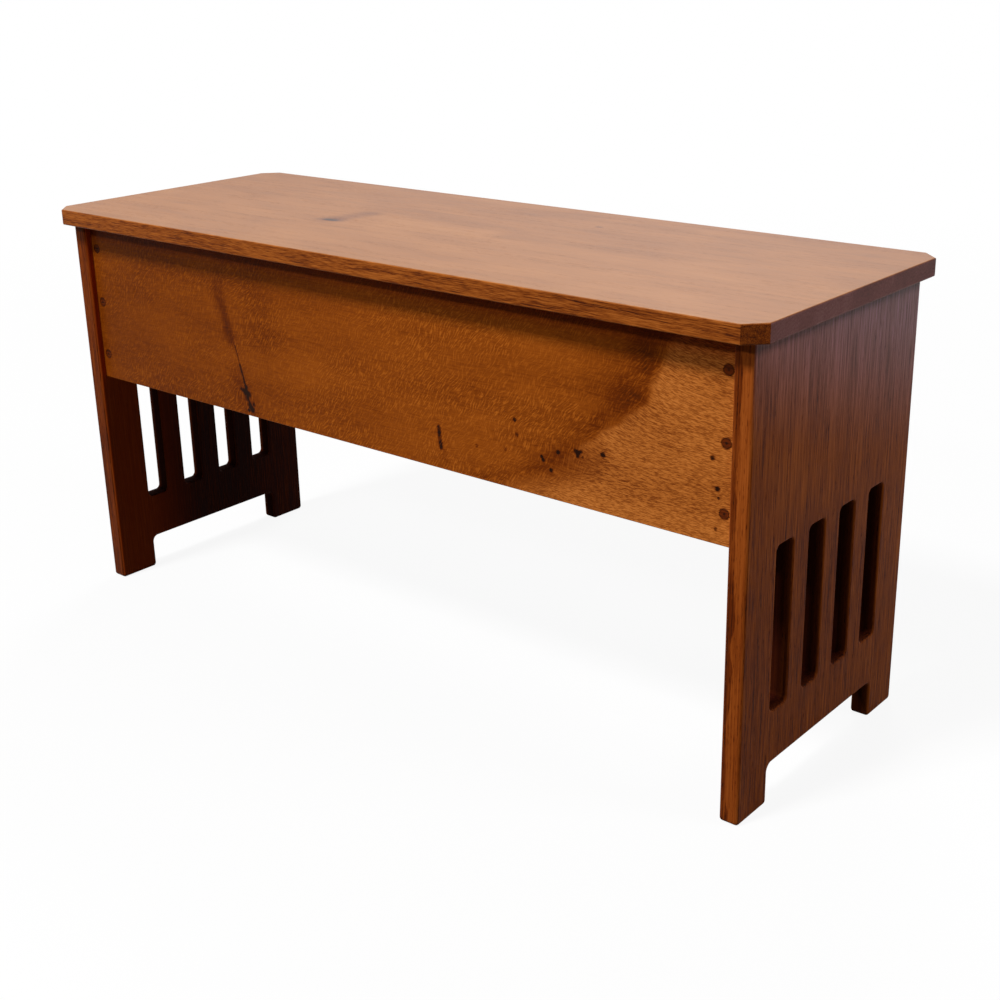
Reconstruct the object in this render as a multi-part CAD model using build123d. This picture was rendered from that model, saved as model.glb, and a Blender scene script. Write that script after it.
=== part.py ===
from build123d import *
import os

# A backless mission bench in oak: a board seat on two slotted ends, tied together by a front and a
# back rail. Millimetres. +X runs to the right along the seat, +Y to the back, +Z up. The origin is on
# the floor, under the centre of the seat.

# Seat
overall_height = 459.0
seat_length = 928.0
seat_depth = 330.0
seat_thickness = 17.5
seat_corner_cut = 17.0
seat_arris = 1.5
seat_end_overhang = 13.0
seat_front_overhang = 16.5
seat_joint_shares = (0.308, 0.692)

# Slotted ends
end_thickness = 19.0
end_roundover = 3.0
foot_width = 50.0
foot_corner_radius = 4.0
foot_opening_height = 38.8
foot_opening_radius = 7.0
slot_count = 4
slot_sill_height = 92.8
slot_head_gap = 7.5
slot_corner_radius = 5.5
slot_arris = 2.5
stave_joint_shares = (0.46, 0.3)

# Rails
rail_height = 182.7
rail_thickness = 19.0
rail_setback = 8.0
rail_arris = 1.0

# Cleats behind the rails and under the seat
cleat_size = 19.0
cleat_arris = 1.0
corner_cleat_lift = 6.0
rail_cleat_screws = 5
rail_cleat_seat_screws = 4
end_cleat_screws = 3
end_cleat_seat_screws = 2

# Wood screws, and the plugs that hide the ones in the rails
screw_head_diameter = 8.0
screw_head_height = 2.4
screw_shank_diameter = 4.2
screw_point_length = 4.0
screw_bite = 9.0
screw_clearance = 0.3
recess_span = 4.4
recess_width = 1.3
recess_depth = 1.4
plug_count = 3
plug_diameter = 9.5
plug_depth = 6.0
plug_chamfer = 0.3
plug_inset = 9.0
plug_end_distance = 29.0

# Cutting
cut_overrun = 5.0
largest_radius_share = 0.48

# Worked out from the sizes above
seat_underside = overall_height - seat_thickness
ends_span = seat_length - 2 * seat_end_overhang
end_depth = seat_depth - 2 * seat_front_overhang
inner_span = ends_span - 2 * end_thickness
rail_underside = seat_underside - rail_height
rail_face = end_depth / 2 - rail_setback
rail_back = rail_face - rail_thickness
cleat_inner_y = rail_back - cleat_size
cleat_inner_x = inner_span / 2 - cleat_size
foot_gap = end_depth - 2 * foot_width
slot_width = foot_gap / (2 * slot_count - 1)
slot_top = rail_underside - slot_head_gap
corner_cleat_bottom = rail_underside + corner_cleat_lift

x_sides = {"left": -1, "right": 1}
y_sides = {"front": -1, "back": 1}

# Round pieces start at zero along their axis, or end there
from_zero = (Align.CENTER, Align.CENTER, Align.MIN)
up_to_zero = (Align.CENTER, Align.CENTER, Align.MAX)


def limited(radius, *walls):
    """A corner radius, no larger than the walls that carry it allow."""
    return min([radius] + [largest_radius_share * wall for wall in walls])


def block(x_low, x_high, y_low, y_high, z_low, z_high):
    """A square-edged block between two corners."""
    size = (x_high - x_low, y_high - y_low, z_high - z_low)
    centre = ((x_high + x_low) / 2, (y_high + y_low) / 2, (z_high + z_low) / 2)
    return Pos(*centre) * Box(*size)


def spread(count, low, high):
    """Places of count fixings, each in the middle of its equal part of the stretch."""
    step = (high - low) / count
    return [low + step * (i + 0.5) for i in range(count)]


def screw_outline(clamped):
    """A countersunk screw along +Z, its head flush at zero, through clamped wood and its bite."""
    length = clamped + screw_bite
    head, shank = screw_head_diameter / 2, screw_shank_diameter / 2
    neck, shoulder, tip = (shank, screw_head_height), (shank, length - screw_point_length), (0, length)
    profile = Polyline((0, 0), (head, 0), neck, shoulder, tip, close=True)
    return revolve(make_face(Plane.XZ * profile), Axis.Z)


def screw(clamped):
    """The screw with the cross recess in its head."""
    arm = Pos(0, 0, recess_depth / 2) * Box(recess_span, recess_width, recess_depth)
    return screw_outline(clamped) - arm - Rot(0, 0, 90) * arm


def screw_hole(clamped):
    """The screw's own outline, a loose shank hole in the clamped piece, and a way in for the head."""
    loose = Cylinder(screw_shank_diameter / 2 + screw_clearance, clamped, align=from_zero)
    way_in = Cylinder(screw_head_diameter / 2, cut_overrun, align=up_to_zero)
    return screw_outline(clamped) + loose + way_in


def plug():
    """A plug along +Z, its chamfered outer face at zero."""
    body = Cylinder(plug_diameter / 2, plug_depth, align=from_zero)
    return chamfer(body.faces().sort_by(Axis.Z)[0].edges(), plug_chamfer)


def plug_bore():
    """The plug's hole, from outside the rail down to the screw's head."""
    return Pos(0, 0, plug_depth) * Cylinder(plug_diameter / 2, plug_depth + cut_overrun, align=up_to_zero)


def placed(planes, make, *sizes):
    """One copy of a fastener or a hole on each plane."""
    return [plane * make(*sizes) for plane in planes]


def rail_planes(x_side, y_side, depth=0):
    """Places of one rail end's plugs, or of its screws when depth is the plug's."""
    x = x_side * (inner_span / 2 - plug_inset)
    y = y_side * (rail_face - depth)
    low, high = rail_underside + plug_end_distance, seat_underside - plug_end_distance
    step = (high - low) / (plug_count - 1)
    return [Plane((x, y, low + step * i), z_dir=(0, -y_side, 0)) for i in range(plug_count)]


def corner_cleat_planes(x_side, y_side):
    """Places of the screws from a corner cleat into its end, between the rail's own screws."""
    y = y_side * (rail_back - cleat_size / 2)
    heights = [plane.origin.Z for plane in rail_planes(x_side, y_side)]
    middles = [(low + high) / 2 for low, high in zip(heights, heights[1:])]
    return [Plane((x_side * cleat_inner_x, y, z), z_dir=(x_side, 0, 0)) for z in middles]


def end_cleat_planes(x_side):
    """Places of the screws from an end's seat cleat into the end."""
    z = seat_underside - cleat_size / 2
    places = spread(end_cleat_screws, -cleat_inner_y, cleat_inner_y)
    return [Plane((x_side * cleat_inner_x, y, z), z_dir=(x_side, 0, 0)) for y in places]


def end_cleat_seat_planes(x_side):
    """Places of the screws from an end's seat cleat up into the seat."""
    x = x_side * (cleat_inner_x + cleat_size / 2)
    places = spread(end_cleat_seat_screws, -cleat_inner_y, cleat_inner_y)
    return [Plane((x, y, seat_underside - cleat_size)) for y in places]


def rail_cleat_planes(y_side):
    """Places of the screws from a rail's seat cleat into the rail."""
    z = seat_underside - cleat_size / 2
    places = spread(rail_cleat_screws, -cleat_inner_x, cleat_inner_x)
    return [Plane((x, y_side * cleat_inner_y, z), z_dir=(0, y_side, 0)) for x in places]


def rail_cleat_seat_planes(y_side):
    """Places of the screws from a rail's seat cleat up into the seat."""
    y = y_side * (cleat_inner_y + cleat_size / 2)
    places = spread(rail_cleat_seat_screws, -cleat_inner_x, cleat_inner_x)
    return [Plane((x, y, seat_underside - cleat_size)) for x in places]


def rail_end_holes(x_side, y_side):
    """Plug bores and screw holes at one end of a rail, through it and into the corner cleat."""
    bores = placed(rail_planes(x_side, y_side), plug_bore)
    return bores + placed(rail_planes(x_side, y_side, plug_depth), screw_hole, rail_thickness - plug_depth)


def cleat_holes(planes):
    """Screw holes through a cleat and into what it is fixed to."""
    return placed(planes, screw_hole, cleat_size)


def boards(blank, names, joints):
    """A glued-up blank sawn back into its boards at the joints' places in Y."""
    margin = Vector(cut_overrun, cut_overrun, cut_overrun)
    low, high = blank.bounding_box().min - margin, blank.bounding_box().max + margin
    places = zip(names, [low.Y] + joints, joints + [high.Y])
    return {name: blank & block(low.X, high.X, near, far, low.Z, high.Z) for name, near, far in places}


def seat_blank():
    """The whole seat with its clipped corners and eased edges."""
    outline = chamfer(Rectangle(seat_length, seat_depth).vertices(), seat_corner_cut)
    blank = extrude(Pos(0, 0, seat_underside) * outline, amount=seat_thickness)
    ends = blank.faces().filter_by(Axis.Z)
    edges = ends[0].outer_wire().edges() + ends[1].outer_wire().edges()
    return fillet(edges, limited(seat_arris, seat_thickness))


def seat_boards():
    """The seat's three boards, glued edge to edge."""
    blank = seat_blank()
    holes = []
    for side in (-1, 1):
        holes += cleat_holes(end_cleat_seat_planes(side)) + cleat_holes(rail_cleat_seat_planes(side))
    blank -= holes
    joints = [seat_depth * share - seat_depth / 2 for share in seat_joint_shares]
    names = ("seat_front_board", "seat_middle_board", "seat_back_board")
    return boards(blank, names, joints)


def end_outline():
    """An end seen from its side: two feet with an opening between them, soft at the corners."""
    opening = Rectangle(foot_gap, foot_opening_height + cut_overrun)
    opening = Pos(0, (foot_opening_height - cut_overrun) / 2) * opening
    tops = opening.vertices().group_by(Axis.Y)[-1]
    opening = fillet(tops, limited(foot_opening_radius, foot_opening_height))
    outline = Pos(0, seat_underside / 2) * Rectangle(end_depth, seat_underside) - opening
    toes = outline.vertices().group_by(Axis.Y)[0]
    return fillet(toes, limited(foot_corner_radius, foot_width, foot_opening_height))


def slot_centres():
    """Places of the slots from front to back: slots and slats alike fill the width over the opening."""
    return [slot_width * (2 * i - (slot_count - 1)) for i in range(slot_count)]


def slots():
    """The slots' outlines on an end."""
    height = slot_top - slot_sill_height
    slot = RectangleRounded(slot_width, height, limited(slot_corner_radius, slot_width, height))
    return [Pos(y, slot_sill_height + height / 2) * slot for y in slot_centres()]


def end_blank():
    """A whole end, rounded over along its outer edges and eased along its slots, centred on zero in X."""
    blank = extrude(Plane.YZ * end_outline(), amount=end_thickness / 2, both=True)
    faces = blank.faces().sort_by(Axis.X)
    edges = faces[0].outer_wire().edges() + faces[-1].outer_wire().edges()
    blank = fillet(edges, limited(end_roundover, end_thickness))
    for outline in slots():
        blank -= extrude(Plane.YZ * outline, amount=end_thickness, both=True)
    faces = blank.faces().sort_by(Axis.X)
    edges = [edge for face in (faces[0], faces[-1]) for wire in face.inner_wires() for edge in wire.edges()]
    return fillet(edges, limited(slot_arris, end_thickness))


def stave_joints():
    """Places of an end's two glue joints, part of the way across its first slat and its last."""
    starts = [slot_centres()[0] + slot_width / 2, slot_centres()[-2] + slot_width / 2]
    return [start + share * slot_width for start, share in zip(starts, stave_joint_shares)]


def end_staves(side_name, x_side):
    """One end's three staves, glued edge to edge."""
    blank = Pos(x_side * (ends_span - end_thickness) / 2, 0, 0) * end_blank()
    holes = cleat_holes(end_cleat_planes(x_side))
    for y_side in y_sides.values():
        holes += cleat_holes(corner_cleat_planes(x_side, y_side))
    blank -= holes
    names = [f"{side_name}_end_{place}_stave" for place in ("front", "middle", "back")]
    return boards(blank, names, stave_joints())


def rail(y_side):
    """A rail between the ends, under the seat, with plugged screws at its ends."""
    low, high = sorted((y_side * rail_back, y_side * rail_face))
    board = block(-inner_span / 2, inner_span / 2, low, high, rail_underside, seat_underside)
    bottom = board.edges().filter_by(Axis.X).group_by(Axis.Z)[0]
    board = fillet(bottom, limited(rail_arris, rail_thickness))
    holes = rail_end_holes(-1, y_side) + rail_end_holes(1, y_side) + cleat_holes(rail_cleat_planes(y_side))
    return board - holes


def eased(bar, axis):
    """A bar with its four long edges eased."""
    return fillet(bar.edges().filter_by(axis), limited(cleat_arris, cleat_size))


def corner_cleat(x_side, y_side):
    """An upright cleat in the corner behind a rail's end."""
    x_low, x_high = sorted((x_side * cleat_inner_x, x_side * inner_span / 2))
    y_low, y_high = sorted((y_side * cleat_inner_y, y_side * rail_back))
    bar = eased(block(x_low, x_high, y_low, y_high, corner_cleat_bottom, seat_underside), Axis.Z)
    return bar - rail_end_holes(x_side, y_side) - cleat_holes(corner_cleat_planes(x_side, y_side))


def end_cleat(x_side):
    """A cleat under the seat along an end, between the corner cleats."""
    x_low, x_high = sorted((x_side * cleat_inner_x, x_side * inner_span / 2))
    low = seat_underside - cleat_size
    bar = eased(block(x_low, x_high, -cleat_inner_y, cleat_inner_y, low, seat_underside), Axis.Y)
    return bar - cleat_holes(end_cleat_planes(x_side)) - cleat_holes(end_cleat_seat_planes(x_side))


def rail_cleat(y_side):
    """A cleat under the seat along a rail, between the corner cleats."""
    y_low, y_high = sorted((y_side * cleat_inner_y, y_side * rail_back))
    low = seat_underside - cleat_size
    bar = eased(block(-cleat_inner_x, cleat_inner_x, y_low, y_high, low, seat_underside), Axis.X)
    return bar - cleat_holes(rail_cleat_planes(y_side)) - cleat_holes(rail_cleat_seat_planes(y_side))


def corner_nodes(x_name, x_side, y_name, y_side):
    """A corner's cleat with its screws, and the plugs and screws of the rail's end there."""
    corner = f"{y_name}_{x_name}"
    rail_screws = placed(rail_planes(x_side, y_side, plug_depth), screw, rail_thickness - plug_depth)
    return {
        f"{corner}_corner_cleat": corner_cleat(x_side, y_side),
        f"{corner}_corner_cleat_screws": placed(corner_cleat_planes(x_side, y_side), screw, cleat_size),
        f"{corner}_rail_screws": rail_screws,
        f"{corner}_rail_plugs": placed(rail_planes(x_side, y_side), plug),
    }


def end_nodes(name, x_side):
    """An end's staves, its seat cleat, and that cleat's screws."""
    return end_staves(name, x_side) | {
        f"{name}_seat_cleat": end_cleat(x_side),
        f"{name}_seat_cleat_end_screws": placed(end_cleat_planes(x_side), screw, cleat_size),
        f"{name}_seat_cleat_seat_screws": placed(end_cleat_seat_planes(x_side), screw, cleat_size),
    }


def rail_nodes(name, y_side):
    """A rail, its seat cleat, and that cleat's screws."""
    return {
        f"{name}_rail": rail(y_side),
        f"{name}_seat_cleat": rail_cleat(y_side),
        f"{name}_seat_cleat_rail_screws": placed(rail_cleat_planes(y_side), screw, cleat_size),
        f"{name}_seat_cleat_seat_screws": placed(rail_cleat_seat_planes(y_side), screw, cleat_size),
    }


def bench():
    """Every piece of the bench by name."""
    nodes = seat_boards()
    for x_name, x_side in x_sides.items():
        nodes |= end_nodes(x_name, x_side)
    for y_name, y_side in y_sides.items():
        nodes |= rail_nodes(y_name, y_side)
        for x_name, x_side in x_sides.items():
            nodes |= corner_nodes(x_name, x_side, y_name, y_side)
    return nodes


def solids_of(shape):
    """The separate solids of a piece, or of a group of like fasteners."""
    pieces = shape if isinstance(shape, list) else [shape]
    return [solid for piece in pieces for solid in piece.solids()]


os.makedirs("parts", exist_ok=True)
for node, shape in bench().items():
    export_step(Compound(children=solids_of(shape)), f"parts/{node}.step")
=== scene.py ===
"""The looks of a backless mission bench in stained oak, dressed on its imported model.

Every board keeps its modelled shape and gets an oak finish that is worked out in the board's own log:
growth rings round a pith, pores and fibres along the grain, rays across it, and that board's knots, checks
and pin holes. The screws are zinc. The stage is a pale floor, a white surround, soft lamps and the camera.
"""

import math
from typing import NamedTuple

import bpy
import numpy as np
from bpy.props import FloatProperty, FloatVectorProperty, PointerProperty
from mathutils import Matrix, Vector


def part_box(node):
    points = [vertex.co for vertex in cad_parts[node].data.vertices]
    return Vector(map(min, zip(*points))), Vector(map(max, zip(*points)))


bl_info = {
    "name": "Mission Bench",
    "version": (1, 0, 0),
    "blender": (4, 5, 0),
    "location": "3D View > Sidebar > Bench",
    "description": "Oak finishes, lamps and camera for a mission bench",
    "category": "Object",
}

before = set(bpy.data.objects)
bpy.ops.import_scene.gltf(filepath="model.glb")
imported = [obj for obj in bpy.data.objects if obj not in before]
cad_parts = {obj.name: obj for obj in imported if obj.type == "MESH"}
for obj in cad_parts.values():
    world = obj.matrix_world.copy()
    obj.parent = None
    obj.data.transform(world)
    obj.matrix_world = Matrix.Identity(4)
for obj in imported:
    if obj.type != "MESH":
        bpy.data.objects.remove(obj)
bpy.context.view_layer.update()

MM = 0.001
IN_MM = 1.0 / MM

# Marks that reach less far than this, in millimetres, have smooth outlines
FINE_MARK = 4

# Order of a board's own directions: along the grain, across its width, through its thickness
ALONG_SEAT = (0, 1, 2)
ALONG_RAIL = (0, 2, 1)
UP_END = (2, 1, 0)
ALONG_SIDE = (1, 0, 2)
UP_POST = (2, 0, 1)


def linear(red, green, blue):
    """A colour written as it looks on a screen, 0 to 255, turned into linear light."""
    shares = [value / 255 for value in (red, green, blue)]
    return tuple(s / 12.92 if s <= 0.04045 else ((s + 0.055) / 1.055) ** 2.4 for s in shares)


def colour(name, description, *screen):
    """A colour property with a default written as it looks on a screen."""
    return FloatVectorProperty(
        name=name, description=description, subtype="COLOR", size=3, min=0, max=1, default=linear(*screen)
    )


class BenchStain(bpy.types.PropertyGroup):
    """The stained oak's colours, and colours that paint light and shade onto it."""

    # Paler than the seat's edges: part of the lacquer's sheen on the top is painted into this colour.
    seat: colour("Seat", "Stained oak on top of the seat", 158, 100, 50)
    edge: colour("Seat edges", "Stained oak on the seat's edges", 148, 75, 22)
    rail: colour("Rails", "Stained oak of the rails", 160, 80, 18)
    pale: colour("Pale rail", "Paler oak past the swirl in the front rail", 192, 109, 43)
    end: colour("Ends", "Stained oak of the ends", 156, 76, 24)
    # Painted sheen: a cool reflection painted into the colour high on the ends' outsides.
    painted_sheen: colour("Cool cast", "Cool cast of the stain high on the ends", 148, 101, 101)
    end_grain: colour("Seat end grain", "Stained end grain of the seat", 190, 134, 132)
    cleat: colour("Cleats", "Oak of the cleats under the seat", 150, 84, 36)
    pore: colour("Pores", "Stain gathered in pores, checks and knots", 34, 12, 6)
    # Painted shade: the dark colour that the slot walls and the backs of the inner faces are mixed towards.
    slot: colour("Slots", "Stain gathered deep in the ends' slots", 40, 8, 4)
    # Painted light: the inner faces' redder, lighter colour at their front, where light comes in under the
    # rail; behind it they fade to the slot shade.
    inside: colour("Inside of the ends", "Redder stain inside the ends, near their fronts", 186, 72, 20)
    # Painted shade: the front rail is multiplied by this towards its left end, where less light falls.
    painted_left_shade: colour("Left of the rail", "Deeper cast towards the front rail's left end", 222, 216, 184)
    # Painted shadow: a redder, darker colour multiplied along the front rail's top, under the seat's
    # overhang.
    painted_seat_shadow: colour("Under the seat", "Redder cast along the front rail's top", 226, 176, 168)
    zinc: colour("Screws", "Zinc of the screws", 150, 152, 150)


class BenchGrain(bpy.types.PropertyGroup):
    """Sizes of the oak's figure and the depth of its finish."""

    pore_length: FloatProperty(
        name="Pore length", description="Usual length of a pore", unit="LENGTH", default=8 * MM
    )
    pore_width: FloatProperty(
        name="Pore width", description="Usual width of a pore", unit="LENGTH", default=0.6 * MM
    )
    fleck_length: FloatProperty(
        name="Fleck length", description="Usual length of a ray fleck", unit="LENGTH", default=8 * MM
    )
    fleck_width: FloatProperty(
        name="Fleck width", description="Usual width of a ray fleck", unit="LENGTH", default=1.4 * MM
    )
    fleck_slope: FloatProperty(
        name="Fleck slope", description="Angle of the ray flecks to the grain", subtype="ANGLE",
        default=math.radians(55),
    )
    relief: FloatProperty(
        name="Relief", description="Depth of the pores in the finish", unit="LENGTH", default=0.12 * MM
    )


class BenchStage(bpy.types.PropertyGroup):
    """The lamps' levels, the floor and the camera."""

    front_level: FloatProperty(
        name="Front lamp", description="How bright the front lamp alone makes white paper", default=0.81,
        min=0,
    )
    low_level: FloatProperty(
        name="Low lamp", description="How bright the low lamp alone makes white paper", default=0.2, min=0
    )
    back_level: FloatProperty(
        name="Back lamp", description="How bright the back lamp alone makes white paper", default=0.3, min=0
    )
    side_level: FloatProperty(
        name="Side lamp", description="How bright the side lamp alone makes white paper", default=0.22, min=0
    )
    fill_level: FloatProperty(
        name="Surround", description="How bright the surround alone makes a white ball", default=0.05, min=0
    )
    floor_bounce: FloatProperty(
        name="Floor bounce", description="Share of light that the floor sends back up", default=0.08,
        min=0, max=1,
    )
    floor_radius: FloatProperty(
        name="Floor radius", description="Radius of the round floor", unit="LENGTH", default=30
    )
    eye: FloatVectorProperty(
        name="Camera place", description="Where the camera stands", unit="LENGTH", size=3,
        default=(1.018827, -1.121376, 0.743379),
    )
    turn: FloatVectorProperty(
        name="Camera turn", description="The camera's turns about X, Y and Z", subtype="EULER", size=3,
        default=(math.radians(70.413), math.radians(0.947), math.radians(39.446)),
    )


class Finish:
    """A material's nodes, with short ways to add them. Lengths in it are millimetres."""

    def __init__(self, name):
        self.material = bpy.data.materials.new(name)
        self.material.use_nodes = True
        self.nodes = self.material.node_tree.nodes
        self.links = self.material.node_tree.links
        self.nodes.clear()

    def feed(self, socket, value):
        """Links a socket to the input, or writes a plain value into it."""
        if isinstance(value, bpy.types.NodeSocket):
            self.links.new(value, socket)
        elif value is not None:
            socket.default_value = value

    def add(self, kind, *values, **settings):
        """A node with its settings, and its inputs fed in order; None leaves one as it is."""
        node = self.nodes.new("ShaderNode" + kind)
        for name, value in settings.items():
            setattr(node, name, value)
        for socket, value in zip(node.inputs, values):
            self.feed(socket, value)
        return node

    def math(self, operation, a, b=None, c=None, clamp=False):
        return self.add("Math", a, b, c, operation=operation, use_clamp=clamp).outputs[0]

    def sum(self, *values):
        """The values added up."""
        total = values[0]
        for value in values[1:]:
            total = self.math("ADD", total, value)
        return total

    def times(self, *values):
        """The values multiplied."""
        product = values[0]
        for value in values[1:]:
            product = self.math("MULTIPLY", product, value)
        return product

    def less(self, a, b):
        return self.math("SUBTRACT", a, b)

    def most(self, *values):
        """The largest of the values."""
        top = values[0]
        for value in values[1:]:
            top = self.math("MAXIMUM", top, value)
        return top

    def smooth(self, value, low, high, start=0.0, end=1.0):
        """A soft step from start to end as the value goes from low to high."""
        node = self.add("MapRange", value, low, high, start, end, interpolation_type="SMOOTHSTEP")
        return node.outputs[0]

    def split(self, vector):
        return self.add("SeparateXYZ", vector).outputs

    def join(self, x, y, z=0.0):
        return self.add("CombineXYZ", x, y, z).outputs[0]

    def vector(self, operation, a, b=None):
        return self.add("VectorMath", a, b, operation=operation).outputs[0]

    def length(self, vector):
        return self.add("VectorMath", vector, operation="LENGTH").outputs["Value"]

    def noise(self, point, size, detail=2.0, roughness=0.5, colour=False):
        """Noise about zero whose features have the given size along each direction."""
        steps = self.vector("MULTIPLY", point, tuple(1 / s for s in size))
        node = self.add("TexNoise", steps, None, 1.0, detail, roughness)
        if colour:
            return self.vector("SUBTRACT", node.outputs[1], (0.5, 0.5, 0.5))
        return self.less(node.outputs[0], 0.5)

    def mix(self, factor, a, b, blend="MIX"):
        """Two colours mixed by the factor."""
        node = self.add("Mix", factor, data_type="RGBA", blend_type=blend)
        self.feed(node.inputs[6], a)
        self.feed(node.inputs[7], b)
        return node.outputs[2]

    def stroke(self, point, start, end):
        """Distance of a point from the straight stroke between two places."""
        run = [b - a for a, b in zip(start, end)]
        from_start = self.vector("SUBTRACT", point, (*start, 0))
        reach = sum(r * r for r in run)
        if not reach:
            return self.length(from_start)
        along = self.add("VectorMath", from_start, (*run, 0), operation="DOT_PRODUCT").outputs["Value"]
        share = self.math("MULTIPLY", along, 1 / reach, clamp=True)
        foot = self.add("VectorMath", (*run, 0), operation="SCALE")
        self.feed(foot.inputs["Scale"], share)
        return self.length(self.vector("SUBTRACT", from_start, foot.outputs[0]))


class Board(NamedTuple):
    """How a board was sawn and how strongly its figure shows. Lengths are in millimetres."""

    axes: tuple
    seed: float
    pith: tuple = (30, -160)
    ring: float = 3.4
    rings: float = 0.08
    edge_streaks: float = 0.0
    fibres: float = 0.35
    edge_fibres: float = 0.35
    fibre_size: tuple = (70, 1.6)
    streak_size: tuple = (18, 0.9)
    flecks: float = 0.0
    pores: float = 0.2
    bands: float = 0.3
    mottle: float = 0.16
    drift: float = 26
    tone: float = 0.0


class Knot(NamedTuple):
    """A knot, check, pin hole or dark streak: a stroke on the board's face, in its own millimetres."""

    start: tuple
    end: tuple
    reach: float
    depth: float
    soft: float = 0.6


class Bend(NamedTuple):
    """A place where the grain bends round a knot, and how far that reaches along and across the board."""

    at: tuple
    along: float
    across: float
    pull: float


def rgba(values):
    return (*values, 1.0)


def in_board(finish, centre, axes):
    """Place in a board's own directions, in millimetres from its centre."""
    place = finish.add("TexCoord").outputs["Object"]
    shifted = finish.add("Mapping", place, tuple(-c * IN_MM for c in centre), (0, 0, 0), (IN_MM,) * 3)
    turned = finish.split(shifted.outputs[0])
    return tuple(turned[axis] for axis in axes)


def bent(finish, along, across, bends):
    """The place across the board, drawn together at each bend so that the grain runs round it."""
    for bend in bends:
        off = finish.join(
            finish.times(finish.less(along, bend.at[0]), 1 / bend.along),
            finish.times(finish.less(across, bend.at[1]), 1 / bend.across),
        )
        near = finish.smooth(finish.length(off), 0.0, 1.0, bend.pull, 0.0)
        aside = finish.less(across, bend.at[1])
        across = finish.less(across, finish.times(aside, near))
    return across


def figure(finish, point, board, grain, end_grain, calm=0.0):
    """The oak's tone from its rings, fibres, pores and rays, with the pores and fibres for its relief.

    Where calm is one, the ray flecks don't show.
    """
    wander = finish.noise(point, (420, 90, 90), 1.0, colour=True)
    drift = finish.vector("MULTIPLY", wander, (0, board.drift, board.drift))
    warped = finish.vector("ADD", point, drift)
    _, across, deep = finish.split(warped)
    x = finish.less(across, board.pith[0])
    y = finish.less(deep, board.pith[1])
    radius = finish.math("SQRT", finish.sum(finish.times(x, x), finish.times(y, y)))
    uneven = finish.times(finish.noise(warped, (500, 14, 14), 1.0), 2.2)
    phase = finish.math("FRACT", finish.sum(finish.times(radius, 1 / board.ring), uneven))
    early = finish.sum(finish.smooth(phase, 0.05, 0.5, 1, 0), finish.smooth(phase, 0.9, 1.0))
    pore = (grain.pore_length * IN_MM, grain.pore_width * IN_MM, grain.pore_width * IN_MM)
    pores = finish.smooth(finish.noise(warped, pore, 1.0), 0.05, 0.2)
    pores = finish.times(pores, finish.sum(finish.times(early, 0.75), 0.25))
    fibre = finish.noise(warped, (*board.fibre_size, board.fibre_size[1]), 3.0, 0.6)
    band = finish.noise(warped, (900, 45, 45), 2.0)
    cloud = finish.noise(point, (100, 34, 34), 3.0)
    normal = finish.split(finish.add("NewGeometry").outputs["Normal"])
    facing = finish.math("ABSOLUTE", normal[board.axes[1]])
    streak = finish.noise(warped, (*board.streak_size, board.streak_size[1]), 3.0, 0.6)
    wide_streak = finish.times(finish.noise(warped, (90, 4, 4), 2.0), 0.4)
    shown_fibres = finish.smooth(facing, 0.0, 1.0, board.fibres, board.edge_fibres)
    plain_tone, end_grain_tone = 0.6, -0.28
    tone = finish.sum(
        finish.times(early, -board.rings), finish.times(pores, -board.pores),
        finish.times(fibre, shown_fibres),
        finish.times(finish.sum(streak, wide_streak), facing, board.edge_streaks),
        finish.times(band, board.bands), finish.times(cloud, board.mottle),
        finish.times(end_grain, end_grain_tone), plain_tone + board.tone + board.rings * 0.4,
    )
    if board.flecks:
        u, v, _ = finish.split(point)
        c, s = math.cos(grain.fleck_slope), math.sin(grain.fleck_slope)
        waver = finish.times(finish.noise(point, (48, 36, 36), 2.0), 20.0)
        lengthwise = finish.sum(finish.times(u, c), finish.times(v, s))
        crosswise = finish.sum(finish.times(v, c), finish.times(u, -s), waver)
        spread = finish.join(lengthwise, crosswise)
        size = (grain.fleck_length * IN_MM, grain.fleck_width * IN_MM, 1)
        fleck = finish.smooth(finish.noise(spread, size, 2.0), -0.05, 0.22, -0.25, 0.75)
        patchy = finish.smooth(finish.noise(point, (120, 70, 70), 1.0), -0.14, 0.1, 0.45, 1.0)
        shown = finish.times(finish.less(1.0, calm), finish.less(1.0, facing), board.flecks)
        tone = finish.sum(tone, finish.times(fleck, patchy, shown))
    return tone, pores, fibre


def stained(finish, tone, wood, pore):
    """The stain's colour for a tone: pores at nothing, the plain wood at 0.6, the palest at one."""
    ramp = finish.add("ValToRGB", tone)
    elements = ramp.color_ramp.elements
    shares = ((0.45, 0.34, 0.3), (1, 1, 1), (1.6, 1.9, 2.5))
    shades = [tuple(min(1, w * share) for w, share in zip(wood, shade)) for shade in shares]
    stops = list(zip((0.0, 0.3, 0.6, 1.0), (pore, *shades)))
    while len(elements) < len(stops):
        elements.new(0.5)
    for element, (place, value) in zip(elements, stops):
        element.position = place
        element.color = rgba(value)
    return ramp.outputs[0]


def wear_and_edge_highlight(finish, low, high):
    """How near a place is to two faces of a box at once, which is where hands and feet wear a board
    and where the lighter edges also paint in a highlight along the arrises.
    """
    place = finish.add("TexCoord").outputs["Object"]
    middle = tuple((a + b) / 2 for a, b in zip(low, high))
    half = tuple((b - a) / 2 for a, b in zip(low, high))
    off = finish.vector("SUBTRACT", half, finish.vector("ABSOLUTE", finish.vector("SUBTRACT", place, middle)))
    a, b, c = finish.split(finish.vector("MULTIPLY", off, (IN_MM,) * 3))
    second = finish.most(finish.math("MINIMUM", a, b), finish.math("MINIMUM", finish.most(a, b), c))
    millimetres = finish.vector("MULTIPLY", place, (IN_MM,) * 3)
    rubbed = finish.smooth(finish.noise(millimetres, (60, 60, 60), 3.0), -0.15, 0.15)
    return finish.times(finish.smooth(second, 0.3, 2.4, 1.0, 0.0), rubbed)


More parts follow.
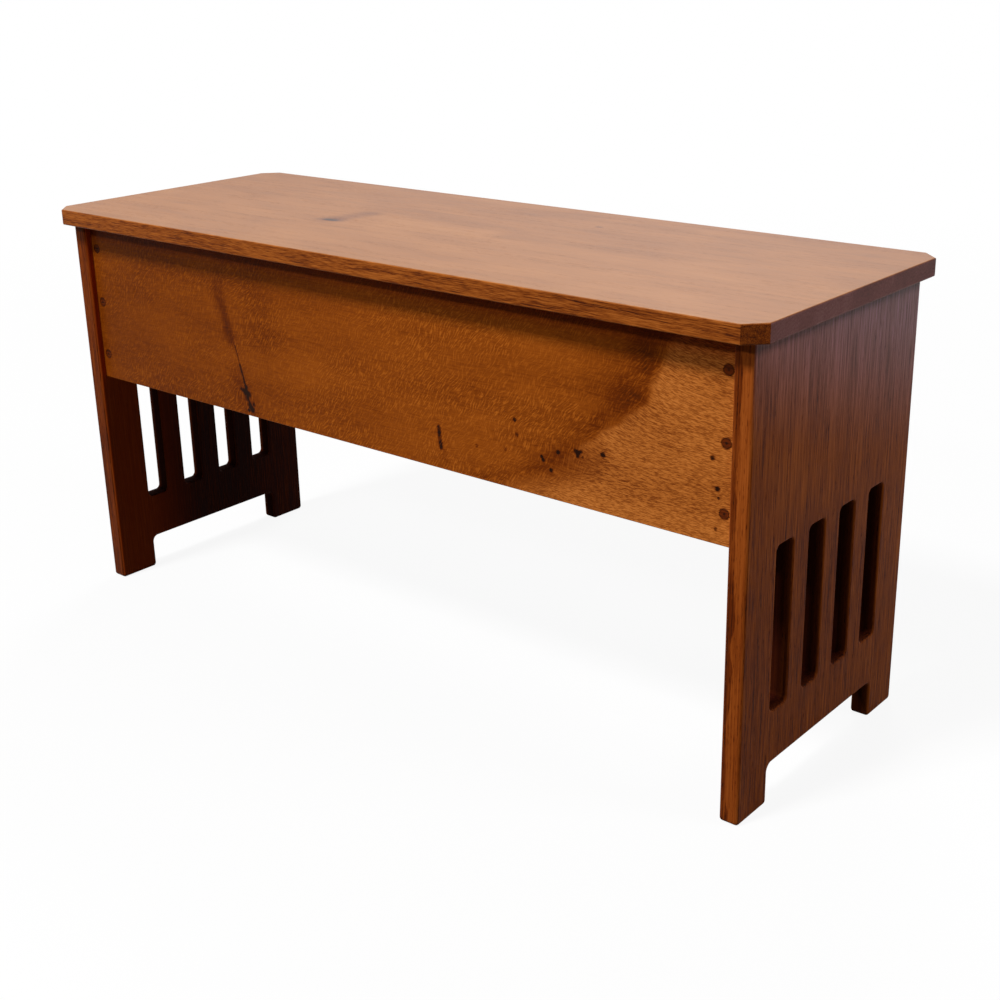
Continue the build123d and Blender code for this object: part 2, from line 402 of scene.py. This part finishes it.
def lacquered(finish, base, pores, fibre, gloss, rough, tint=(1, 1, 1), coat=None):
    """Wood under a satin lacquer that dips into the pores; coat is how far a second coat covers it."""
    grain = bpy.context.scene.bench_grain
    height = finish.sum(finish.times(pores, -1.0), finish.times(fibre, 0.35))
    bump = finish.add("Bump", 0.4, grain.relief, None, height)
    roughness = finish.sum(finish.times(pores, 0.2), finish.times(fibre, 0.15), rough)
    shader = finish.add("BsdfPrincipled", base, None, roughness)
    shader.inputs["Specular IOR Level"].default_value = gloss
    shader.inputs["Specular Tint"].default_value = rgba(tint)
    if coat is not None:
        finish.feed(shader.inputs["Coat Weight"], coat)
        shader.inputs["Coat Roughness"].default_value = 0.36
    finish.feed(shader.inputs["Normal"], bump.outputs[0])
    finish.add("OutputMaterial", shader.outputs[0])
    return finish.material


def plug_distance(finish, along, across, aside):
    """Distance from the axis of the nearest of a rail end's plugs, in the rail's own millimetres."""
    spacing = 62.35
    height = finish.math("ABSOLUTE", across)
    nearest = finish.math("MINIMUM", height, finish.math("ABSOLUTE", finish.less(height, spacing)))
    return finish.length(finish.join(finish.less(finish.math("ABSOLUTE", along), aside), nearest))


def ringed_plugs(finish, flat):
    """The darker ring where stain gathered round each plug in a rail."""
    plugs_from_middle, ring_radius = 423.0, 4.9
    along, across, _ = finish.split(flat)
    distance = plug_distance(finish, along, across, plugs_from_middle)
    off = finish.math("ABSOLUTE", finish.less(distance, ring_radius))
    return finish.smooth(off, 0.2, 1.1, -0.3, 0.0)


def plug_face(finish, flat, point):
    """A plug's dark rim and the spot in its middle."""
    along, across, _ = finish.split(flat)
    distance = plug_distance(finish, along, across, 0.0)
    rim = finish.smooth(distance, 3.4, 4.7, 0.0, -0.2)
    spot = finish.smooth(distance, 0.6, 1.8, -0.2, 0.0)
    return point, finish.sum(rim, spot)


def knotted(finish, tone, point, knots):
    """The tone darkened at each knot, check and pin hole."""
    smooth = finish.vector("MULTIPLY", point, (1, 1, 0))
    broken = finish.vector("MULTIPLY", finish.noise(point, (3, 3, 3), 2.0, colour=True), (3.2, 3.2, 0))
    ragged = finish.vector("ADD", smooth, broken)
    for knot in knots:
        outline = smooth if knot.reach < FINE_MARK else ragged
        distance = finish.stroke(outline, knot.start, knot.end)
        inner, outer = knot.reach * (1 - knot.soft), knot.reach * (1 + knot.soft)
        tone = finish.less(tone, finish.smooth(distance, inner, outer, knot.depth, 0.0))
    return tone


def dress(node, material):
    """Puts one material on a modelled node."""
    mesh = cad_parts[node].data
    mesh.materials.clear()
    mesh.materials.append(material)


def nodes_ending(*endings):
    return [name for name in sorted(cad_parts) if name.endswith(endings)]


def joined_box(*nodes):
    """The lowest and highest corners of several nodes together."""
    corners = [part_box(node) for node in nodes]
    low = [min(pair[0][i] for pair in corners) for i in range(3)]
    high = [max(pair[1][i] for pair in corners) for i in range(3)]
    return low, high


def oak(finish, node, board, whole, knots=(), bends=(), extra=None):
    """The tone, pores and fibres of a board round its own centre, and any masks that extra gives.

    Whole is the box whose edges wear and take a painted highlight.
    """
    low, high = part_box(node)
    along, across, deep = in_board(finish, [(a + b) / 2 for a, b in zip(low, high)], board.axes)
    flat = finish.join(along, across, deep)
    across = bent(finish, along, across, bends)
    point = finish.join(finish.math("ADD", along, board.seed * 977.0), across, deep)
    normal = finish.split(finish.add("NewGeometry").outputs["Normal"])
    end_grain = finish.smooth(finish.math("ABSOLUTE", normal[board.axes[0]]), 0.45, 0.85)
    shift, masks = 0.0, []
    if extra:
        point, shift, *masks = extra(finish, flat, point)
    calm = masks[0] if board.flecks and masks else 0.0
    tone, pores, fibre = figure(finish, point, board, bpy.context.scene.bench_grain, end_grain, calm)
    # Lighter edges: wear, and a painted highlight along the arrises.
    tone = finish.sum(tone, shift, finish.times(wear_and_edge_highlight(finish, *whole), 0.14))
    return knotted(finish, tone, flat, knots), pores, fibre, *masks


def plain_oak(node, wood, board, whole, gloss=0.06, extra=None):
    """An oak material of one stain."""
    finish = Finish(node + "_oak")
    tone, pores, fibre = oak(finish, node, board, whole, extra=extra)
    base = stained(finish, tone, wood, bpy.context.scene.bench_stain.pore)
    return lacquered(finish, base, pores, fibre, gloss, 0.45, (1, 0.8, 0.6))


class BENCH_OT_seat(bpy.types.Operator):
    """Finish the seat's boards"""

    bl_idname = "bench.seat"
    bl_label = "Finish the seat"

    def execute(self, context):
        stain = context.scene.bench_stain
        names = ("seat_front_board", "seat_middle_board", "seat_back_board")
        whole = joined_box(*names)
        seat = Board(
            ALONG_SEAT, 0, rings=0.02, edge_streaks=2.4, streak_size=(14, 0.6), fibres=0.32,
            fibre_size=(40, 1.6), pores=0.12, bands=0.12, mottle=0.3, drift=14,
        )
        boards = {
            names[0]: seat._replace(seed=1, pith=(20, -160), ring=3.6),
            names[1]: seat._replace(seed=2, pith=(-15, -210), ring=3.9),
            names[2]: seat._replace(seed=3, pith=(12, -140), ring=3.3),
        }
        knots = {
            names[1]: (
                Knot((-148, -36), (-137, -35), 3.6, 0.34, 0.95),
                Knot((-156, -38), (-132, -34), 7, 0.16, 0.9),
                Knot((-143, -26), (-134, 12), 13, 0.2, 0.9),
                Knot((-70, -14), (40, 2), 20, -0.12, 0.9),
            ),
            names[2]: (Knot((118, -20), (122, -20), 2.2, 0.3, 0.8),),
        }
        bends = {names[1]: (Bend((-141, -34), 60, 26, 0.6),)}
        for name, board in boards.items():
            finish = Finish(name + "_oak")
            tone, pores, fibre = oak(
                finish, name, board, whole, knots.get(name, ()), bends.get(name, ()), painted_back_shade
            )
            normal = finish.split(finish.add("NewGeometry").outputs["Normal"])
            # The top takes the paler colour, which paints in part of its sheen; the edges take the deeper
            # one.
            upward = finish.smooth(normal[2], 0.5, 0.9)
            endward = finish.smooth(normal[0], 0.8, 0.95)
            edge = stained(finish, tone, stain.edge, stain.pore)
            top = stained(finish, tone, stain.seat, stain.pore)
            end_grain = stained(finish, tone, stain.end_grain, stain.pore)
            base = finish.mix(endward, finish.mix(upward, edge, top), end_grain)
            left = finish.split(finish.add("TexCoord").outputs["Object"])[0]
            coat = finish.times(upward, finish.smooth(left, -0.42, -0.2, 0.33, 0.39))
            dress(name, lacquered(finish, base, pores, fibre, 0.06, 0.42, coat=coat))
        return {"FINISHED"}


def painted_back_shade(finish, flat, point):
    """The seat is a little darker towards its back: painted shade where less light falls."""
    back = finish.split(finish.add("TexCoord").outputs["Object"])[1]
    return point, finish.smooth(back, -0.1, 0.16, 0.0, -0.07)


class BENCH_OT_ends(bpy.types.Operator):
    """Finish the ends' staves"""

    bl_idname = "bench.ends"
    bl_label = "Finish the ends"

    def execute(self, context):
        stain = context.scene.bench_stain
        reddest_at, darkest_from, inner_shade_share = -0.115, -0.02, 0.65
        for side in ("left", "right"):
            names = [f"{side}_end_{place}_stave" for place in ("front", "middle", "back")]
            whole = joined_box(*names)
            outward = -1 if side == "left" else 1
            outer_face = max(abs(corner[0]) for corner in whole)
            for seed, name in enumerate(names):
                board = Board(
                    UP_END, 11 + seed + 5 * (side == "left"), pith=(40 - 60 * seed, 170), ring=3.0,
                    rings=0.06, edge_streaks=0.6, streak_size=(60, 1.3), fibres=2.2, edge_fibres=0.6,
                    fibre_size=(45, 1.0), pores=0.4, bands=0.5, drift=7,
                    tone=-0.18 if side == "left" else 0.04,
                )
                finish = Finish(name + "_oak")
                extra = dark_strip if name == "right_end_front_stave" else in_slots
                tone, pores, fibre, slots = oak(finish, name, board, whole, extra=extra)
                warm = stained(finish, tone, stain.end, stain.pore)
                # The same figure in the cool colour, which is a painted sheen.
                painted_sheen = stained(finish, tone, stain.painted_sheen, stain.pore)
                place = finish.split(finish.add("TexCoord").outputs["Object"])
                normal = finish.split(finish.add("NewGeometry").outputs["Normal"])
                # Where the cool sheen is painted: high on the outsides, at 0.4 of the strength on the left
                # end. This is a painted reflection; the coat laid on the same place is a real one.
                outer = finish.smooth(finish.times(normal[0], outward), 0.6, 0.95)
                high = finish.smooth(finish.sum(place[2], finish.times(place[1], 0.3)), 0.3, 0.48)
                cast = finish.times(outer, high, 0.4 if side == "left" else 1.0)
                base = finish.mix(cast, warm, painted_sheen)
                # Painted light and shade on the inner faces: lighter and redder at the front, dark towards
                # the back.
                inward = finish.smooth(finish.times(normal[0], -outward), 0.6, 0.95)
                shade_towards_back = finish.smooth(place[1], reddest_at, darkest_from)
                shade = finish.mix(shade_towards_back, rgba(stain.inside), rgba(stain.slot))
                base = finish.mix(finish.times(inward, inner_shade_share), base, shade)
                # Painted shade on the slot walls, stronger further in from the outer face.
                thick = finish.times(finish.less(outer_face, finish.times(place[0], outward)), IN_MM)
                slots = finish.times(slots, finish.smooth(thick, 1.0, 10.0, 0.35, 0.9))
                base = finish.mix(slots, base, rgba(stain.slot))
                rough = finish.sum(finish.times(slots, 0.5), 0.45)
                coat = finish.times(cast, 0.36)
                dress(name, lacquered(finish, base, pores, fibre, 0.03, rough, coat=coat))
        return {"FINISHED"}


def in_slots(finish, flat, point):
    """How an end's tone shifts from place to place, and which places are walls of its slots and opening.

    An end has painted shade low down and among its slots. The left end's inner face has painted light at
    its front and painted shade behind. The heights reach a millimetre past the ends of the slots and of the
    opening between the feet.
    """
    opening, foot, head, reach = 0.0398, 0.0918, 0.2523, 0.099
    place = finish.split(finish.add("TexCoord").outputs["Object"])
    facing = finish.split(finish.add("NewGeometry").outputs["Normal"])[0]
    sideways = finish.math("ABSOLUTE", facing)
    wall = finish.smooth(sideways, 0.3, 0.6, 1.0, 0.0)
    tall = finish.times(
        finish.smooth(place[2], foot - MM, foot), finish.smooth(place[2], head, head + MM, 1.0, 0.0)
    )
    tall = finish.most(tall, finish.smooth(place[2], opening - MM, opening, 1.0, 0.0))
    aside = finish.math("ABSOLUTE", place[1])
    within = finish.smooth(aside, reach, reach + MM, 1.0, 0.0)
    # Painted shade: darker low down, less so towards the back.
    low = finish.times(
        finish.smooth(place[2], 0.15, 0.35, -0.14, 0.0), finish.smooth(place[1], 0.02, 0.1, 1.0, 0.3)
    )
    # Painted light and shade on the left end's inner face: lighter at its front, darker behind.
    left_inside = finish.times(finish.smooth(facing, 0.5, 0.9), finish.smooth(place[0], -0.2, 0.0, 1.0, 0.0))
    inside = finish.times(left_inside, finish.smooth(place[1], -0.13, -0.05, 0.12, -0.22))
    # Painted shade among the slots: darker across the end's middle at the slots' height.
    between = finish.times(
        finish.smooth(place[2], 0.05, 0.12), finish.smooth(place[2], 0.25, 0.31, 1.0, 0.0),
        finish.smooth(aside, 0.07, 0.13, -0.07, 0.0),
    )
    return point, finish.sum(low, inside, between), finish.times(wall, tall, within)


def dark_strip(finish, flat, point):
    """An end's shifts and slot walls, with a darker strip down the inner side of its front edge."""
    _, across, deep = finish.split(flat)
    drift = finish.times(finish.noise(flat, (45, 20, 20), 3.0), 14.0)
    inner = finish.smooth(finish.sum(deep, drift), -2.6, -1.4, 1.0, 0.0)
    front = finish.smooth(across, -43.5, -41.0, 1.0, 0.0)
    _, low, slots = in_slots(finish, flat, point)
    return point, finish.sum(low, finish.times(inner, front, -0.25)), slots


def swirled(finish, flat, point):
    """The front rail's swirl: a dark band that curves up to the right, past which the grain is pale and fans.

    The band's line gives a place along the rail for each height. Past it the grain slopes down to the right.
    """
    along, across, _ = finish.split(flat)
    height, half_length = 182.7, 432.0
    line = ((0, 170), (11, 193), (32, 242), (61, 276), (93, 322), (134, 351), (160, 361), (182.7, 372))
    share = finish.math("ADD", finish.times(across, 1 / height), 0.5)
    curve = finish.add("FloatCurve", None, share)
    points = curve.mapping.curves[0].points
    for rise, place in line[1:-1]:
        points.new(rise / height, place / half_length)
    points[0].location = (0, line[0][1] / half_length)
    points[-1].location = (1, line[-1][1] / half_length)
    curve.mapping.update()
    ragged = finish.times(finish.noise(flat, (30, 22, 22), 2.0), 22.0)
    beyond = finish.less(along, finish.times(curve.outputs[0], half_length))
    past = finish.sum(beyond, ragged)
    fan = finish.most(beyond, 0.0)
    steep = finish.smooth(across, -70, 30, 0.14, 0.38)
    fall = finish.math("DIVIDE", finish.times(fan, steep), finish.sum(finish.times(fan, 1 / 60), 1.0))
    u, v, w = finish.split(point)
    point = finish.join(u, finish.sum(v, fall), w)
    low = finish.smooth(across, -70, 10, 1.0, 0.0)
    spread = finish.sum(finish.smooth(past, -10, 70), finish.less(1.0, low))
    pale = finish.math("MINIMUM", finish.smooth(past, -4, 10), spread)
    dark = finish.times(
        finish.smooth(past, -46, -14), finish.smooth(past, -8, 8, 1.0, 0.0),
        finish.sum(1.0, finish.times(low, -0.5)),
    )
    blotch = finish.sum(finish.noise(flat, (26, 18, 18), 2.0), 0.4)
    dashes = finish.smooth(finish.noise(point, (5, 0.65, 0.65), 2.0), -0.14, 0.16, 0.16, -0.21)
    # Painted shade: a little darker towards the rail's left end.
    left = finish.smooth(along, -400, 100, -0.05, 0.0)
    shift = finish.sum(
        finish.times(dark, blotch, -0.42), finish.times(dashes, pale), left, ringed_plugs(finish, flat)
    )
    return point, shift, pale


def plugged(finish, flat, point):
    """A rail with its ringed plugs and nothing else out of the ordinary."""
    return point, ringed_plugs(finish, flat)


class BENCH_OT_rails(bpy.types.Operator):
    """Finish the rails"""

    bl_idname = "bench.rails"
    bl_label = "Finish the rails"

    def execute(self, context):
        stain = context.scene.bench_stain
        low_edge = -91.35

        def knot(start, end, reach, depth, soft=0.6):
            """A knot placed by its height over the rail's lower edge."""
            return Knot((start[0], start[1] + low_edge), (end[0], end[1] + low_edge), reach, depth, soft)

        knots = (
            knot((-212, 135), (-200, 84), 8, 0.13, 0.9),
            knot((-205, 116), (-195, 78), 5, 0.14, 0.9),
            knot((-204, 180), (-212, 125), 9, 0.05, 0.9),
            knot((-191, 76), (-185, 55), 0.9, 0.35),
            knot((-185, 55), (-178, 30), 1.4, 0.42),
            knot((-177, 26), (-174, 14), 1.2, 0.4),
            knot((-190, 40), (-174, 10), 13, 0.13, 0.9),
            knot((-154, 158), (-149, 100), 20, 0.07, 0.95),
            knot((103, 42), (105, 22), 2.3, 0.5),
            knot((106, 22), (112, 4), 5, 0.09, 0.9),
            knot((298, 55), (298, 55), 7, 0.1, 0.9),
            knot((226, 24), (290, 52), 16, 0.09, 0.9),
            knot((304, 122), (330, 142), 24, 0.13, 0.9),
        )
        pin_holes = (
            (-185, 28, 2.6, 0.4), (-179, 26, 3.8, 0.5), (-174, 24, 3.0, 0.45), (-178, 19, 2.6, 0.4),
            (-177, 32, 1.8, 0.4), (-174, 12, 3.4, 0.5), (-170, 8, 3.2, 0.5), (-176, 6, 2.0, 0.4),
            (-167, 14, 2.2, 0.4),
            (198, 68, 2.0, 0.55), (200, 54, 2.0, 0.3), (151, 33, 1.8, 0.3), (186, 37, 1.8, 0.25),
            (229, 39, 1.7, 0.5), (231, 36, 1.9, 0.5), (240, 28, 2.0, 0.5), (248, 47, 2.0, 0.5),
            (268, 52, 1.9, 0.45), (271, 51, 2.4, 0.55), (274, 53, 1.7, 0.4), (270, 48, 1.9, 0.45),
            (276, 48, 1.2, 0.35), (298, 55, 2.4, 0.55), (342, 60, 2.0, 0.2),
            (410, 76, 2.2, 0.55), (416, 50, 2.4, 0.6), (417, 42, 1.2, 0.5), (415, 14, 1.6, 0.5),
        )
        knots += tuple(knot((along, up), (along, up), reach, depth) for along, up, reach, depth in pin_holes)
        bends = (
            Bend((-206, 104 + low_edge), 80, 60, 0.3), Bend((-176, 20 + low_edge), 50, 30, 0.6),
            Bend((104, 32 + low_edge), 30, 24, 0.5), Bend((255, 42 + low_edge), 50, 26, 0.5),
        )
        front = Board(
            ALONG_RAIL, 21, pith=(160, 40), ring=3.2, rings=0.015, fibres=0.45, fibre_size=(16, 1.2),
            flecks=0.42, pores=0.08, bands=0.3, tone=-0.02, mottle=0.3,
        )
        back = front._replace(seed=25, pith=(-170, 50), flecks=0.2)
        finish = Finish("front_rail_oak")
        tone, pores, fibre, pale = oak(
            finish, "front_rail", front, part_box("front_rail"), knots, bends, swirled
        )
        shades = [stained(finish, tone, wood, stain.pore) for wood in (stain.rail, stain.pale)]
        base = finish.mix(pale, *shades)
        place = finish.split(finish.add("TexCoord").outputs["Object"])
        # Painted shade: the front rail darkens towards its left end.
        full_at, gone_at = -0.4, 0.1
        left_shade_mask = finish.smooth(place[0], full_at, gone_at, 1.0, 0.0)
        base = finish.mix(left_shade_mask, base, rgba(stain.painted_left_shade), "MULTIPLY")
        # Painted shadow under the seat's overhang: the rail's top strip is multiplied redder and darker.
        seat_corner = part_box("front_rail")[1][2]
        starts_below, full_below = 26 * MM, 4 * MM
        gathered = finish.smooth(place[2], seat_corner - starts_below, seat_corner - full_below)
        base = finish.mix(gathered, base, rgba(stain.painted_seat_shadow), "MULTIPLY")
        dress("front_rail", lacquered(finish, base, pores, fibre, 0.05, 0.45, (1, 0.7, 0.35)))
        dress("back_rail", plain_oak("back_rail", stain.rail, back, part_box("back_rail"), 0.05, plugged))
        return {"FINISHED"}


class BENCH_OT_cleats(bpy.types.Operator):
    """Finish the cleats"""

    bl_idname = "bench.cleats"
    bl_label = "Finish the cleats"

    def execute(self, context):
        stain = context.scene.bench_stain
        for seed, name in enumerate(nodes_ending("_cleat")):
            axes = ALONG_SEAT
            if "corner" in name:
                axes = UP_POST
            elif name.startswith(("left", "right")):
                axes = ALONG_SIDE
            board = Board(axes, 31 + seed, pith=(30, 40), rings=0.12)
            dress(name, plain_oak(name, stain.cleat, board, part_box(name)))
        return {"FINISHED"}


class BENCH_OT_plugs(bpy.types.Operator):
    """Finish the plugs"""

    bl_idname = "bench.plugs"
    bl_label = "Finish the plugs"

    def execute(self, context):
        stain = context.scene.bench_stain
        for seed, name in enumerate(nodes_ending("_plugs")):
            board = Board(ALONG_RAIL, 41 + seed, pith=(60, 30), rings=0.1, fibres=0.4, tone=-0.38)
            dress(name, plain_oak(name, stain.end, board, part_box(name), extra=plug_face))
        return {"FINISHED"}


def zinc(name):
    """Bright zinc, cloudy and finely scratched."""
    finish = Finish(name)
    place = finish.vector("MULTIPLY", finish.add("TexCoord").outputs["Object"], (IN_MM,) * 3)
    cloud = finish.noise(place, (3, 3, 3), 3.0)
    scratch = finish.noise(place, (0.2, 2.5, 2.5), 2.0)
    shade = bpy.context.scene.bench_stain.zinc
    base = finish.mix(finish.smooth(cloud, -0.2, 0.2), rgba(shade), rgba([0.7 * s for s in shade]))
    rough = finish.sum(finish.times(cloud, 0.3), finish.times(scratch, 0.2), 0.38)
    bump = finish.add("Bump", 0.3, 0.02 * MM, None, scratch)
    shader = finish.add("BsdfPrincipled", base, 1.0, rough)
    finish.feed(shader.inputs["Normal"], bump.outputs[0])
    finish.add("OutputMaterial", shader.outputs[0])
    return finish.material


class BENCH_OT_screws(bpy.types.Operator):
    """Finish the screws"""

    bl_idname = "bench.screws"
    bl_label = "Finish the screws"

    def execute(self, context):
        material = zinc("zinc")
        for name in nodes_ending("_screws"):
            dress(name, material)
        return {"FINISHED"}


def floor_mesh(radius):
    """A round flat floor a hair under the feet: rings widen outwards by the cube of the ring's share."""
    ring_count, turn_count, drop = 24, 72, 0.2 * MM
    ring, turn = np.meshgrid(np.linspace(0, 1, ring_count + 1)[1:], np.arange(turn_count), indexing="ij")
    angle = turn * (2 * math.pi / turn_count)
    reach = radius * ring ** 3
    points = np.stack([reach * np.cos(angle), reach * np.sin(angle), np.full_like(reach, -drop)], -1)
    points = np.vstack([points.reshape(-1, 3), (0, 0, -drop)])
    i, j = np.meshgrid(np.arange(ring_count - 1), np.arange(turn_count), indexing="ij")
    k = (j + 1) % turn_count
    corners = [i * turn_count + j, (i + 1) * turn_count + j, (i + 1) * turn_count + k, i * turn_count + k]
    quads = np.stack(corners, -1).reshape(-1, 4)
    last = len(points) - 1
    hub = [(last, a, (a + 1) % turn_count) for a in range(turn_count)]
    mesh = bpy.data.meshes.new("floor")
    mesh.from_pydata(points.tolist(), [], quads.tolist() + hub)
    mesh.validate()
    return mesh


def floor_finish(stage):
    """A pale floor that keeps the bench's shadow, fades to white, and sends little light back up."""
    finish = Finish("floor")
    ray = finish.add("LightPath").outputs
    seen = finish.most(ray["Is Camera Ray"], ray["Is Glossy Ray"], ray["Is Transmission Ray"])
    place = finish.add("TexCoord").outputs["Object"]
    away = finish.length(place)
    grit = finish.sum(finish.noise(finish.vector("MULTIPLY", place, (IN_MM,) * 3), (60, 60, 60)), 0.5)
    paper = finish.mix(grit, rgba((0.88,) * 3), rgba((0.92,) * 3))
    dull = finish.add("BsdfDiffuse", rgba((stage.floor_bounce,) * 3)).outputs[0]
    pale = finish.add("BsdfDiffuse", paper).outputs[0]
    white = finish.add("Emission", rgba((1, 1, 1)), 1.0).outputs[0]
    whiteness = finish.smooth(away, 0.6, 3.0, 0.91, 1.0)
    mirrored = finish.times(ray["Is Glossy Ray"], finish.smooth(away, 0.6, 4.0, 0.7, 0.0))
    whiteness = finish.math("SUBTRACT", whiteness, mirrored, clamp=True)
    shown = finish.add("MixShader", whiteness, pale, white).outputs[0]
    finish.add("OutputMaterial", finish.add("MixShader", seen, dull, shown).outputs[0])
    return finish.material


def surround(stage):
    """A world that is white where it is seen or reflected, and lights the bench at the fill level."""
    world = bpy.data.worlds.new("surround")
    world.use_nodes = True
    nodes, links = world.node_tree.nodes, world.node_tree.links
    nodes.clear()
    ray = nodes.new("ShaderNodeLightPath").outputs
    seen = nodes.new("ShaderNodeMath")
    seen.operation = "MAXIMUM"
    links.new(ray["Is Camera Ray"], seen.inputs[0])
    links.new(ray["Is Glossy Ray"], seen.inputs[1])
    through = nodes.new("ShaderNodeMath")
    through.operation = "MAXIMUM"
    links.new(seen.outputs[0], through.inputs[0])
    links.new(ray["Is Transmission Ray"], through.inputs[1])
    level = nodes.new("ShaderNodeMapRange")
    links.new(through.outputs[0], level.inputs[0])
    level.inputs[3].default_value = stage.fill_level
    level.inputs[4].default_value = 1.0
    sky = nodes.new("ShaderNodeBackground")
    sky.inputs[0].default_value = (1, 1, 1, 1)
    links.new(level.outputs[0], sky.inputs[1])
    output = nodes.new("ShaderNodeOutputWorld")
    links.new(sky.outputs[0], output.inputs[0])
    bpy.context.scene.world = world


def soft_lamp(name, place, target, width, depth, level):
    """An area lamp that alone lights a white surface facing it, at its target, to the given level."""
    light = bpy.data.lights.new(name, "AREA")
    light.shape = "RECTANGLE"
    light.size, light.size_y = width, depth
    way = Vector(target) - Vector(place)
    light.energy = level * math.pi ** 2 * way.length_squared
    lamp = bpy.data.objects.new(name, light)
    lamp.location = place
    lamp.rotation_euler = way.to_track_quat("-Z", "Y").to_euler()
    bpy.context.scene.collection.objects.link(lamp)


def camera(stage):
    """The camera at the photograph's place, turn and framing."""
    data = bpy.data.cameras.new("camera")
    image_width, focal_length = 1000, 1471.434
    middle_x, middle_y = 518.784, 459.256
    data.lens = focal_length / image_width * data.sensor_width
    data.shift_x = 0.5 - middle_x / image_width
    data.shift_y = middle_y / image_width - 0.5
    data.clip_start, data.clip_end = 0.01, 200
    eye = bpy.data.objects.new("camera", data)
    eye.location = stage.eye
    eye.rotation_euler = stage.turn
    bpy.context.scene.collection.objects.link(eye)
    bpy.context.scene.camera = eye


class BENCH_OT_stage(bpy.types.Operator):
    """Set up the floor, the surround, the lamps and the camera"""

    bl_idname = "bench.stage"
    bl_label = "Set the stage"

    def execute(self, context):
        stage = context.scene.bench_stage
        floor = bpy.data.objects.new("floor", floor_mesh(stage.floor_radius))
        context.scene.collection.objects.link(floor)
        floor.data.materials.append(floor_finish(stage))
        surround(stage)
        soft_lamp("front", (-0.9, -3.6, 5.4), (0, 0, 0.3), 1.0, 1.0, stage.front_level)
        soft_lamp("low", (-0.7, -4.6, 3.2), (0, 0, 0.3), 0.8, 0.4, stage.low_level)
        soft_lamp("back", (-1.5, 3.2, 3.8), (0, 0, 0.3), 1.6, 1.2, stage.back_level)
        soft_lamp("side", (2.3, 0.6, 2.2), (0, 0, 0.3), 0.9, 0.8, stage.side_level)
        camera(stage)
        context.scene.view_settings.view_transform = "Standard"
        return {"FINISHED"}


class BENCH_PT_panel(bpy.types.Panel):
    """The bench's sidebar"""

    bl_idname = "BENCH_PT_panel"
    bl_label = "Mission Bench"
    bl_space_type = "VIEW_3D"
    bl_region_type = "UI"
    bl_category = "Bench"

    def draw(self, context):
        for group in (context.scene.bench_stain, context.scene.bench_grain, context.scene.bench_stage):
            box = self.layout.box()
            for name in group.__annotations__:
                box.prop(group, name)
        for operator in OPERATORS:
            self.layout.operator(operator.bl_idname)


GROUPS = {"bench_stain": BenchStain, "bench_grain": BenchGrain, "bench_stage": BenchStage}
OPERATORS = (
    BENCH_OT_seat, BENCH_OT_ends, BENCH_OT_rails, BENCH_OT_plugs, BENCH_OT_cleats, BENCH_OT_screws,
    BENCH_OT_stage,
)


def register():
    for kind in (*GROUPS.values(), *OPERATORS, BENCH_PT_panel):
        bpy.utils.register_class(kind)
    for name, group in GROUPS.items():
        setattr(bpy.types.Scene, name, PointerProperty(type=group))


def unregister():
    for name in GROUPS:
        delattr(bpy.types.Scene, name)
    for kind in (BENCH_PT_panel, *OPERATORS, *GROUPS.values()):
        bpy.utils.unregister_class(kind)


def main():
    """Registers the add-on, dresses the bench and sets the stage."""
    register()
    bpy.ops.bench.seat()
    bpy.ops.bench.ends()
    bpy.ops.bench.rails()
    bpy.ops.bench.plugs()
    bpy.ops.bench.cleats()
    bpy.ops.bench.screws()
    bpy.ops.bench.stage()


if __name__ == "__main__":
    main()
